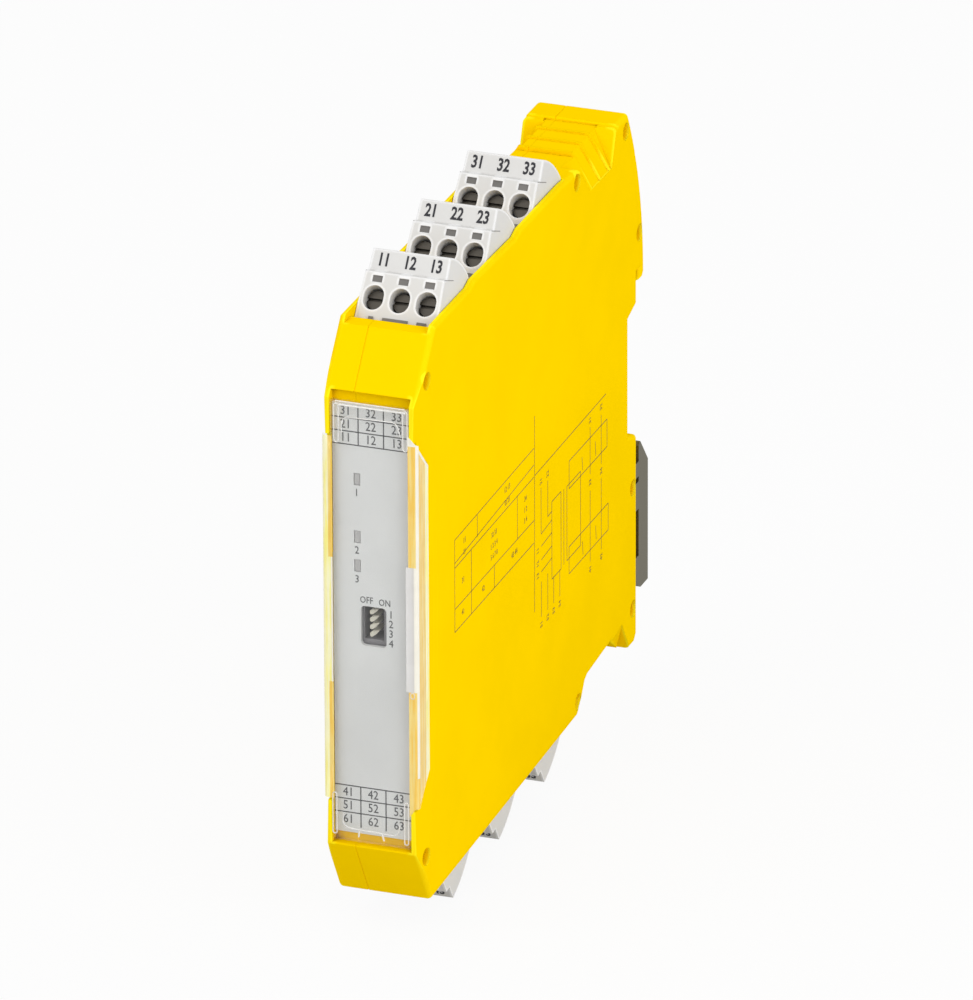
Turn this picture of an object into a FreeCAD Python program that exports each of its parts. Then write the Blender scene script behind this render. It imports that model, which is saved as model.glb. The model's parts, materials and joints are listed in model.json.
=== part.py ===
import FreeCAD, Part
import os
import Sketcher

# Narrow rail-mounted interface relay with six plug-in terminals.
# X is the width, Y runs back to the rail, Z is up.
# Y = 0 is the front face of the rail and Z = 0 its middle.

V = FreeCAD.Vector
doc = FreeCAD.newDocument("interface_relay")
sheet = doc.addObject("Spreadsheet::Sheet", "dims")

sizes = [
    ("half", 8.75, "half of the module width"),
    ("split", -3.1, "parting plane of the two shells"),
    ("corner", 1.0, "rounded outer rim of the shells"),
    ("edge", 0.6, "small chamfers and edge gaps"),
    ("seam", 0.2, "rounded edges along the parting plane"),
    ("slip", 0.1, "close sliding fit"),
    ("ease", 0.3, "loose fit of moving pieces"),
    ("over", 2.0, "how far cutters reach past a face"),
    ("front", -112.8, "front face behind the cover"),
    ("coverY", -114.0, "front of the clear cover"),
    ("coverWall", 0.9, "thickness of the clear cover"),
    ("coverRound", 0.7, "rounded front corners of the clear cover"),
    ("coverTop", 30.0, "upper end of the full-width cover"),
    ("coverBase", -38.3, "lower end of the full-width cover"),
    ("flangeY", -108.6, "back of the cover flanges"),
    ("flangeCut", 5.5, "height of the slanted flange ends"),
    ("gripTop", 7.3, "upper end of the cover's side blocks"),
    ("gripBase", -16.2, "lower end of the cover's side blocks"),
    ("faceTop", 37.4, "top of the front face"),
    ("faceBase", -47.1, "bottom of the front face"),
    ("nose", 9.4, "run of the sloped upper front corner"),
    ("chin", 6.6, "run of the sloped lower front corner"),
    ("bevelArc", 190.0, "arc of the bevel beside the cover"),
    ("bevelRun", 4.7, "run of the bevel beside the cover"),
    ("bevelDeep", 0.5, "depth of the bevel beside the cover"),
    ("top", 48.5, "level of the upper plugs"),
    ("base", -57.0, "level of the first lower plug"),
    ("baseRise", 0.95, "rise of the lower plugs per step"),
    ("rim", 0.35, "height of the side walls over the plug level"),
    ("rimStep", 0.75, "step of the side walls behind a plug"),
    ("rimFall", 0.5, "fall of the side walls between steps"),
    ("lip", 1.2, "height of the small steps of the lower edge"),
    ("sill", 0.9, "drop of the wall in front of the first upper plug"),
    ("roof", 48.9, "roof in front of the grip"),
    ("crown", 50.0, "top of the rear block"),
    ("crownBack", -4.5, "back end of the crown"),
    ("ribDrop", 0.3, "crown over the grip ribs"),
    ("backRad", 69.0, "radius of the curved back"),
    ("railTop", 17.9, "upper end of the rail slot"),
    ("slot", 1.4, "depth of the rail slot"),
    ("hook", 3.9, "back of the upper hook"),
    ("hookDrop", 2.3, "how far the hook hangs behind the rail"),
    ("relief", -4.5, "bottom of the rail relief"),
    ("reliefTop", 10.4, "upper end of the rail relief"),
    ("reliefBase", -12.2, "lower end of the rail relief"),
    ("heel", -53.8, "bottom of the rear block"),
    ("heelRun", 13.5, "length of the sloped heel"),
    ("arch", -48.5, "bottom edge behind the plugs"),
    ("archFront", -26.5, "front end of that edge"),
    ("plugY", -100.6, "front of the first upper plug"),
    ("plugStep", 23.7, "pitch of the upper plugs"),
    ("lowerY", -101.1, "front of the first lower plug"),
    ("lowerStep", 23.7, "pitch of the lower plugs"),
    ("plugSide", 1.3, "side wall beside a plug"),
    ("plugHalf", "=half - plugSide", "half of the plug width"),
    ("draft", 0.4, "taper of a plug's sides"),
    ("bayDeep", 14.5, "depth of a plug bay"),
    ("channel", 4.0, "depth of the open run between the bays"),
    ("plugLen", 16.4, "length of a plug"),
    ("plugSink", 1.5, "how far the screw face starts in the bay"),
    ("toe", 1.4, "toe in front of the screw face"),
    ("tabAt", 1.65, "middle of the toe tabs, off the middle of the plug"),
    ("tabStep", 3.15, "half of the pitch of the toe tabs"),
    ("tabHalf", 0.8, "half of the toe tab width"),
    ("faceRun", 5.0, "run of the screw face"),
    ("faceRise", 6.5, "rise of the screw face"),
    ("ledge", 1.4, "depth of the ledge under the number band"),
    ("bandRun", 2.2, "run of the number band"),
    ("backRun", 3.7, "run of the wire face"),
    ("backRise", 4.3, "rise of the wire face"),
    ("backFoot", 1.6, "start of the wire face over the bay"),
    ("backArc", 17.0, "arc of the wire face"),
    ("plugTall", 7.7, "height of a plug over the housing"),
    ("plugDeep", 12.0, "depth of a plug in its bay"),
    ("holeAt", 0.44, "place of the screw hole along its face"),
    ("holeRad", 1.8, "screw hole radius"),
    ("holeStretch", 0.4, "half of the straight part of a screw hole"),
    ("holeDeep", 4.2, "screw hole depth"),
    ("screwRad", 1.7, "terminal screw radius"),
    ("screwTall", 2.0, "terminal screw head"),
    ("kerf", 0.6, "driver slot"),
    ("wireRad", 1.6, "wire entry radius"),
    ("wireDeep", 7.5, "wire entry depth"),
    ("cageAt", 9.75, "middle of the wire clamp"),
    ("cageLen", 5.5, "length of the wire clamp"),
    ("cageTall", 5.8, "height of the wire clamp"),
    ("cageHalf", 1.85, "half of the clamp width"),
    ("cageWall", 0.55, "sheet of the clamp"),
    ("poleWall", 0.8, "wall beside the outer clamps"),
    ("pole", "=plugHalf - cageHalf - poleWall", "pitch of the poles"),
    ("cageTop", -1.8, "top of the clamp in the bay"),
    ("legAt", 10.0, "middle of the header pins"),
    ("legHalf", 0.5, "half of the pin width"),
    ("legThick", 0.8, "thickness of a pin"),
    ("headerTall", 2.2, "height of the pin header"),
    ("labelSide", 1.55, "side wall beside the label"),
    ("labelHalf", "=half - labelSide", "half of the label width"),
    ("labelThick", 0.8, "thickness of the label plate"),
    ("lampX", -2.75, "middle of the lamp windows"),
    ("lampHalf", 0.5, "half of the light guide width"),
    ("lampTall", 2.1, "height of a light guide"),
    ("guideLen", 7.0, "length of a light guide"),
    ("dipX", 0.15, "middle of the switch window"),
    ("dipZ", -5.0, "middle of the switch window"),
    ("dipPitch", 1.4, "pitch of the switch levers"),
    ("dipHalf", 2.4, "half of the switch window width"),
    ("leverTall", 0.9, "height of a switch lever"),
    ("leverWide", 1.9, "width of a switch lever"),
    ("leverTravel", 1.1, "travel of a switch lever"),
    ("boardX", 2.4, "left face of the board"),
    ("boardThick", 1.6, "thickness of the board"),
    ("relayLen", 28.0, "length of a board relay"),
    ("relayTall", 15.0, "height of a board relay"),
    ("relayGap", 0.25, "space between a board relay and the shell"),
    ("relayDeep", "=boardX + plugHalf - relayGap", "depth of a board relay"),
    ("capRad", 3.2, "capacitor radius"),
    ("capLen", 14.0, "capacitor length"),
    ("driverLen", 23.0, "length of the driver block"),
    ("driverTall", 12.0, "height of the driver block"),
    ("footBack", 7.3, "back of the rail foot"),
    ("footFront", 0.5, "front of the foot's cheeks"),
    ("footTop", -16.2, "upper tip of the rail foot"),
    ("footBase", -44.8, "lower end of the rail foot"),
    ("footSide", 0.55, "step from the shell's side to the foot"),
    ("footHalf", "=half - footSide", "half of the foot width"),
    ("footNotch", 9.2, "height of the long notch in a cheek"),
    ("footNick", 1.0, "height of the short notch in a cheek"),
    ("notchDeep", 1.8, "depth of the notches in a cheek"),
    ("footTravel", 4.0, "travel of the rail foot"),
    ("sheetThick", 1.2, "sheet of the rail foot"),
    ("tongueHalf", 5.0, "half of the guide tongue"),
    ("tongueDeep", 5.0, "how far the tongue reaches into the housing"),
    ("springRad", 1.3, "spring radius"),
    ("springWire", 0.35, "half of the spring wire"),
    ("springTurn", 2.6, "pitch of the spring"),
    ("dimple", 1.6, "radius of the pin holes"),
    ("dimpleDeep", 1.5, "depth of the pin holes"),
    ("pinRad", 1.0, "radius of the shell pins"),
    ("gripHalf", 5.0, "half of the grip's flat top"),
    ("gripFront", -24.4, "front of the finger grip"),
    ("gripDrop", 6.6, "height of the grip flanks"),
    ("gripPitch", 4.7, "pitch of the grip ribs"),
    ("gripLand", 0.6, "length of a grip rib"),
    ("gripCut", 0.35, "depth between the grip ribs"),
]
for row, (alias, value, note) in enumerate(sizes, 1):
    sheet.set("A%d" % row, note)
    sheet.set("B%d" % row, str(value))
    sheet.setAlias("B%d" % row, alias)
doc.recompute()

nodes = []


def word(term):
    return "(%s)" % (term if isinstance(term, str) else repr(float(term)))


def bind(item, prop, term):
    item.setExpression(prop, word(term))


def named(item, label):
    item.Label = label
    nodes.append(item)
    return item


def sheet_value(term):
    if not isinstance(term, str):
        return float(term)
    return float(sheet.evalExpression(term.replace("dims.", "")))


# Boxes, rods and outlines, all tied to the sheet.
def block(name, x, y, z):
    item = doc.addObject("Part::Box", name)
    for side, base, (low, high) in (("Length", "x", x), ("Width", "y", y), ("Height", "z", z)):
        bind(item, side, word(high) + " - " + word(low))
        bind(item, "Placement.Base." + base, low)
    return item


def place(item, x, y, z, turn=None):
    if turn is not None:
        item.Placement = FreeCAD.Placement(V(0, 0, 0), FreeCAD.Rotation(V(1, 0, 0), 30))
        bind(item, "Placement.Rotation.Angle", turn)
    for base, term in (("x", x), ("y", y), ("z", z)):
        bind(item, "Placement.Base." + base, term)
    return item


def rod(name, radius, length):
    item = doc.addObject("Part::Cylinder", name)
    bind(item, "Radius", radius)
    bind(item, "Height", length)
    return item


def along_x(item, x, y, z):
    item.Placement = FreeCAD.Placement(V(0, 0, 0), FreeCAD.Rotation(V(0, 1, 0), 90))
    return place(item, x, y, z)


def cross_rod(name, radius, x, y, z):
    return along_x(rod(name, radius, word(x[1]) + " - " + word(x[0])), x[0], y, z)


# A point may carry a third term: the radius of an arc that bulges outwards to the next point.
def prism(name, points, span, axis="x"):
    sketch = doc.addObject("Sketcher::SketchObject", name + "_outline")
    if axis == "x":
        turn = FreeCAD.Rotation(V(1, 1, 1), 120)
        way = V(1, 0, 0)
    else:
        turn = FreeCAD.Rotation(V(1, 0, 0), 90)
        way = V(0, 1, 0)
    sketch.Placement = FreeCAD.Placement(V(0, 0, 0), turn)
    bind(sketch, "Placement.Base." + axis, span[0])
    count = len(points)
    guess = [V(sheet_value(p[0]), sheet_value(p[1]), 0) for p in points]
    turned = [False] * count
    for i, point in enumerate(points):
        a, b = guess[i], guess[(i + 1) % count]
        if len(point) == 2:
            sketch.addGeometry(Part.LineSegment(a, b), False)
            continue
        run = b - a
        radius = sheet_value(point[2])
        lift = radius - (radius ** 2 - run.Length ** 2 / 4) ** 0.5
        side = V(-run.y, run.x, 0).normalize()
        sketch.addGeometry(Part.Arc(a, (a + b) * 0.5 + side * lift, b), False)
        turned[i] = True
    for i in range(count):
        after = (i + 1) % count
        end = 1 if turned[i] else 2
        start = 2 if turned[after] else 1
        sketch.addConstraint(Sketcher.Constraint("Coincident", i, end, after, start))
    for i, point in enumerate(points):
        start = 2 if turned[i] else 1
        for kind, term, value in (("DistanceX", point[0], guess[i].x), ("DistanceY", point[1], guess[i].y)):
            at = sketch.addConstraint(Sketcher.Constraint(kind, -1, 1, i, start, value))
            bind(sketch, "Constraints[%d]" % at, term)
        if turned[i]:
            at = sketch.addConstraint(Sketcher.Constraint("Radius", i, sheet_value(point[2])))
            bind(sketch, "Constraints[%d]" % at, point[2])
    item = doc.addObject("Part::Extrusion", name)
    item.Base = sketch
    item.DirMode = "Custom"
    item.Dir = way
    item.Solid = True
    bind(item, "LengthFwd", word(span[1]) + " - " + word(span[0]))
    return item


def join(name, items):
    item = doc.addObject("Part::MultiFuse", name)
    item.Shapes = items
    return item


def cut(name, base, tool):
    item = doc.addObject("Part::Cut", name)
    item.Base = base
    item.Tool = tool
    return item


def group(name, items):
    item = doc.addObject("Part::Compound", name)
    item.Links = items
    return item


def evenly(half):
    return ("-(%s)" % half, half)


bayHalf = "dims.plugHalf + dims.slip"
poles = [-1, 0, 1]


def bay_start(upper, number):
    if upper:
        return "(dims.plugY + dims.plugStep * %d)" % number
    return "(dims.lowerY + dims.lowerStep * %d)" % number


# Height in or over a plug bay, counted outwards from the plug's own level.
def level(upper, number, term):
    if upper:
        return "dims.top + " + word(term)
    return "dims.base + dims.baseRise * %d - %s" % (number, word(term))


def levels(upper, number, low, high):
    ends = (level(upper, number, low), level(upper, number, high))
    return ends if upper else ends[::-1]


# Side walls over the upper plugs step up behind each plug and fall a little to the next step.
def wall_steps():
    points = []
    for number in (0, 1):
        low = bay_start(True, number) + " + dims.plugLen - dims.toe * 2"
        before = "dims.top + dims.rim + (dims.rimStep - dims.rimFall) * %d" % number
        points += [(low, before), (low + " + dims.rimStep * 3.2", before + " + dims.rimStep")]
    return points


rimBack = "dims.top + dims.rim + dims.rimStep * 2 - dims.rimFall"
rimLow = "dims.base - dims.lip"
ribTop = "dims.crown - dims.ribDrop"
gripEnd = "dims.gripFront + dims.gripPitch * 3"
bayEnd = bay_start(True, 2) + " + dims.plugLen - dims.toe * 2"

# Housing outline, seen from the right side.
outline = [
    ("dims.coverY", "dims.faceTop - dims.ease"),
    ("dims.coverY + dims.nose", "dims.top + dims.rim"),
] + wall_steps() + [
    (bayEnd, rimBack),
    ("dims.gripFront", "dims.roof"),
    ("dims.gripFront", ribTop),
    (gripEnd, ribTop),
    (gripEnd + " + dims.ribDrop", "dims.crown"),
    ("dims.crownBack", "dims.crown", "dims.backRad"),
    ("dims.hook", "dims.railTop - dims.hookDrop / 2"),
    ("dims.hook - dims.hookDrop / 2.5", "dims.railTop - dims.hookDrop"),
    ("dims.slot", "dims.railTop - dims.hookDrop"),
    ("dims.slot", "dims.railTop"),
    (0.0, "dims.railTop"),
    (0.0, "dims.reliefTop + dims.slot"),
    ("dims.relief", "dims.reliefTop"),
    ("dims.relief", "dims.reliefBase"),
    (0.0, "dims.reliefBase - dims.slot"),
    (0.0, "dims.heel + dims.slot"),
    ("-dims.slot", "dims.heel"),
    ("dims.crownBack", "dims.heel"),
    ("-dims.heelRun", "dims.arch"),
    ("dims.archFront", "dims.arch - dims.lip"),
    ("dims.archFront - dims.lip", "dims.arch - dims.lip * 1.5"),
    ("dims.archFront - dims.lip * 3", "dims.arch - dims.lip * 4.5"),
    ("dims.archFront - dims.lip * 4.5", "dims.arch - dims.lip * 5.75"),
    ("dims.coverY + dims.chin", rimLow),
    ("dims.coverY", "dims.faceBase"),
]
print("outline")

# Housing: one set of cutters opens both shells.
cavityLow = "dims.base + dims.baseRise * 2 + dims.bayDeep + dims.over"
cavityHigh = "dims.top - dims.bayDeep - dims.over"
cutters = [
    block("cavity", evenly(bayHalf),
          ("dims.front + dims.guideLen - dims.over", "dims.relief - dims.over * 2"),
          (cavityLow, cavityHigh)),
    block("label_seat", evenly("dims.labelHalf + dims.slip"),
          ("dims.coverY - dims.over", "dims.front + dims.labelThick + dims.slip"),
          ("dims.faceBase + dims.ease", "dims.faceTop + dims.edge * 1.5")),
    block("cover_seat", evenly("dims.half + dims.over"), ("dims.coverY - dims.over", "dims.front"),
          ("dims.coverBase - dims.ease * 2", "dims.coverTop + dims.ease")),
    block("front_opening", evenly("dims.labelHalf - dims.over / 2"),
          ("dims.front", "dims.front + dims.guideLen"),
          ("dims.faceBase + dims.bayDeep", "dims.faceTop - dims.bayDeep / 2")),
    block("sill_cut", evenly(bayHalf), ("dims.coverY", "dims.plugY"),
          ("dims.top - dims.sill", "dims.top + dims.plugTall")),
    block("foot_channel", evenly("dims.tongueHalf + dims.ease"),
          ("-dims.tongueDeep - dims.ease", "dims.over"),
          ("dims.footBase - dims.footTravel - dims.over", "dims.footTop - dims.over")),
]
for upper in (True, False):
    side = "upper" if upper else "lower"
    for number in range(3):
        start = bay_start(upper, number)
        tag = "%s_%d" % (side, number + 1)
        ends = (start + " - dims.toe - dims.ease * 2", start + " + dims.plugLen + dims.ease")
        cutters.append(block("bay_" + tag, evenly(bayHalf), ends,
                             levels(upper, number, "-dims.bayDeep", "dims.plugTall")))
        if number < 2:
            cutters.append(block("run_" + tag, evenly(bayHalf), (ends[0], bay_start(upper, number + 1)),
                                 levels(upper, number, "-dims.channel", "dims.plugTall")))
        legLine = start + " + dims.legAt"
        cutters.append(block("pin_slot_" + tag, evenly("dims.pole + dims.legHalf * 2"),
                             (legLine + " - dims.legThick * 1.5", legLine + " + dims.legThick * 1.5"),
                             levels(upper, number, "-dims.bayDeep - dims.over * 2.5",
                                    "-dims.bayDeep + dims.over / 2")))


def flange_shape(gap):
    return [
        ("dims.coverY - %s" % word(gap), "dims.coverTop + %s" % word(gap)),
        ("dims.flangeY + %s" % word(gap), "dims.coverTop - dims.flangeCut + %s" % word(gap)),
        ("dims.flangeY + %s" % word(gap), "dims.coverBase + dims.flangeCut - %s" % word(gap)),
        ("dims.front - dims.ease", "dims.coverBase + dims.ease - %s * 2" % word(gap)),
        ("dims.coverY - %s" % word(gap), "dims.coverBase - %s * 2" % word(gap)),
    ]


# Each side takes a cover flange, a deeper notch for its clear block, and a long bevel behind it.
for sign, side in ((1, "right"), (-1, "left")):
    inner = "dims.half - dims.coverWall - dims.ease"
    deep = "dims.labelHalf + dims.slip - dims.ease"
    outer = "dims.half + dims.over"
    seat = (inner, outer) if sign > 0 else ("-(%s)" % outer, "-(%s)" % inner)
    notch = (deep, outer) if sign > 0 else ("-(%s)" % outer, "-(%s)" % deep)
    cutters.append(prism("flange_seat_" + side, flange_shape("dims.ease"), seat))
    cutters.append(block("block_seat_" + side, notch, ("dims.coverY - dims.over", "dims.flangeY + dims.ease"),
                         ("dims.gripBase - dims.ease", "dims.gripTop + dims.ease")))
    bevel = doc.addObject("Part::Cone", "cover_bevel_" + side)
    near = "dims.bevelArc - dims.bevelRun * 2"
    far = "dims.bevelArc + dims.bevelRun * 2"
    bind(bevel, "Radius1", near if sign > 0 else far)
    bind(bevel, "Radius2", far if sign > 0 else near)
    bind(bevel, "Height", "dims.bevelDeep * 4")
    foot = "dims.half - dims.bevelDeep * 2" if sign > 0 else "-dims.half - dims.bevelDeep * 2"
    cutters.append(along_x(bevel, foot, "dims.flangeY + dims.bevelRun - dims.bevelArc",
                           "(dims.coverTop + dims.coverBase) / 2"))

# Blind holes of the shell pins, along the rim.
dimples = [
    ("dims.crownBack - dims.dimple", "dims.crown - dims.dimple * 1.75"),
    ("dims.gripFront - dims.dimple * 4.64", "dims.top - dims.dimple * 0.75"),
    ("dims.hook - dims.dimple * 1.7", "dims.railTop + dims.dimple * 4.5"),
    ("dims.coverY + dims.nose * 0.57", "dims.faceTop + dims.dimple * 1.75"),
    ("dims.relief / 2", "dims.reliefBase - dims.dimple * 6.8"),
    ("dims.relief / 2", "dims.heel + dims.dimple * 4.4"),
    ("dims.archFront - dims.dimple * 3.2", "dims.arch - dims.dimple * 2.6"),
    ("dims.coverY + dims.chin * 0.6", "dims.faceBase - dims.dimple * 1.14"),
]
pinSpan = ("dims.split - dims.dimple * 2", "dims.half - dims.dimpleDeep * 2")
dimpleRight = ("dims.half - dims.dimpleDeep", "dims.half + dims.over")
dimpleLeft = ("-dims.half - dims.over", "-dims.half + dims.dimpleDeep")
for number, (y, z) in enumerate(dimples, 1):
    cutters.append(cross_rod("dimple_right_%d" % number, "dims.dimple", dimpleRight, y, z))
    cutters.append(cross_rod("dimple_left_%d" % number, "dims.dimple", dimpleLeft, y, z))
pinSpots = [dimples[i] for i in (0, 1, 2, 3, 6, 7)]
for number, (y, z) in enumerate(pinSpots, 1):
    cutters.append(cross_rod("pin_bore_%d" % number, "dims.pinRad", pinSpan, y, z))


def both(name, items):
    item = doc.addObject("Part::MultiCommon", name)
    item.Shapes = items
    return item


def mirrored(points):
    return [("-(%s)" % x, z) for x, z in points]


# The same outline run the other way round; an arc then starts at its other end.
def turned_back(points):
    return [points[i][:2] + points[i - 1][2:] for i in reversed(range(len(points)))]


# The rear block's lower corners are cut away in a slanted triangle.
heelSlant = [
    ("dims.half + dims.over", "dims.heel - dims.over"),
    ("dims.half + dims.over", "dims.arch + dims.lip"),
    ("dims.half", "dims.arch + dims.lip"),
    ("dims.half - dims.dimple * 2", "dims.heel - dims.over"),
]
heelSide = [
    ("-dims.heelRun * 0.62", "dims.arch + dims.lip"),
    ("-dims.heelRun", "dims.arch"),
    ("-dims.heelRun", "dims.heel - dims.over"),
    ("-dims.heelRun * 0.2", "dims.heel - dims.over"),
]
heelRange = ("-dims.heelRun - dims.over", 0.0)
sideRange = ("-dims.half - dims.over", "dims.half + dims.over")
for side, points in (("right", heelSlant), ("left", mirrored(heelSlant))):
    cutters.append(both("heel_corner_" + side, [prism("heel_slant_" + side, points, heelRange, "y"),
                                               prism("heel_side_" + side, heelSide, sideRange)]))

# Finger grip: slanted flanks with ribs that wrap from the flat top to the sides.
gripFoot = ribTop + " - dims.gripDrop"


def flank(name, inset, span):
    slim = "dims.gripHalf - %s" % word(inset)
    right = [
        (slim, ribTop + " - %s" % word(inset)),
        ("dims.half - %s" % word(inset), gripFoot),
        ("dims.half + dims.over", gripFoot),
        ("dims.half + dims.over", "dims.crown + dims.over"),
        (slim, "dims.crown + dims.over"),
    ]
    return [prism(name + "_right", right, span, "y"), prism(name + "_left", mirrored(right), span, "y")]


# seen from the side, the flanks run out at a slant in front and behind
gripSide = [
    ("dims.gripFront - dims.gripDrop", "dims.crown + dims.over"),
    ("dims.gripFront - dims.gripDrop", ribTop),
    ("dims.gripFront - dims.edge", gripFoot),
    (gripEnd + " - dims.gripDrop / 2", gripFoot),
    (gripEnd, "dims.crown + dims.over"),
]
gripSpan = ("dims.gripFront - dims.gripDrop * 2", "dims.crownBack")
for number, item in enumerate(flank("grip_flank", 0.0, gripSpan), 1):
    limit = prism("grip_range_%d" % number, gripSide, sideRange)
    cutters.append(both("grip_side_%d" % number, [item, limit]))
for number in range(3):
    span = ("dims.gripFront + dims.gripPitch * %d + dims.gripLand" % number,
            "dims.gripFront + dims.gripPitch * %d" % (number + 1))
    for spot, item in enumerate(flank("grip_gap_%d" % (number + 1), "dims.gripCut", span)):
        limit = prism("gap_range_%d_%d" % (number + 1, spot + 1), gripSide, sideRange)
        cutters.append(both("grip_gap_side_%d_%d" % (number + 1, spot + 1), [item, limit]))
    cutters.append(block("grip_floor_%d" % (number + 1), evenly("dims.gripHalf"), span,
                         (ribTop + " - dims.gripCut", "dims.crown + dims.over")))
tools = join("housing_tools", cutters)


# Rounds the outer rim of a shell and, less, its rim on the parting plane.
def soften(name, blank, outer):
    doc.recompute()
    item = doc.addObject("Part::Fillet", name)
    item.Base = blank
    rims = ((outer, sheet.corner), (sheet.split, sheet.seam))
    item.Edges = [(i, radius, radius) for plane, radius in rims for i, edge in enumerate(blank.Shape.Edges, 1)
                  if all(abs(v.Point.x - plane) < 1e-4 for v in edge.Vertexes)]
    return item


rightBlank = soften("right_soft", prism("right_blank", outline, ("dims.split", "dims.half")), sheet.half)
leftBlank = soften("left_soft", prism("left_blank", outline, ("-dims.half", "dims.split")), -sheet.half)
named(cut("housing_right_cut", rightBlank, tools), "housing_right")
named(cut("housing_left_cut", leftBlank, tools), "housing_left")
pins = [cross_rod("shell_pin_%d" % n, "dims.pinRad", pinSpan, y, z) for n, (y, z) in enumerate(pinSpots, 1)]
named(group("shell_pin_set", pins), "shell_pins")


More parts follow.
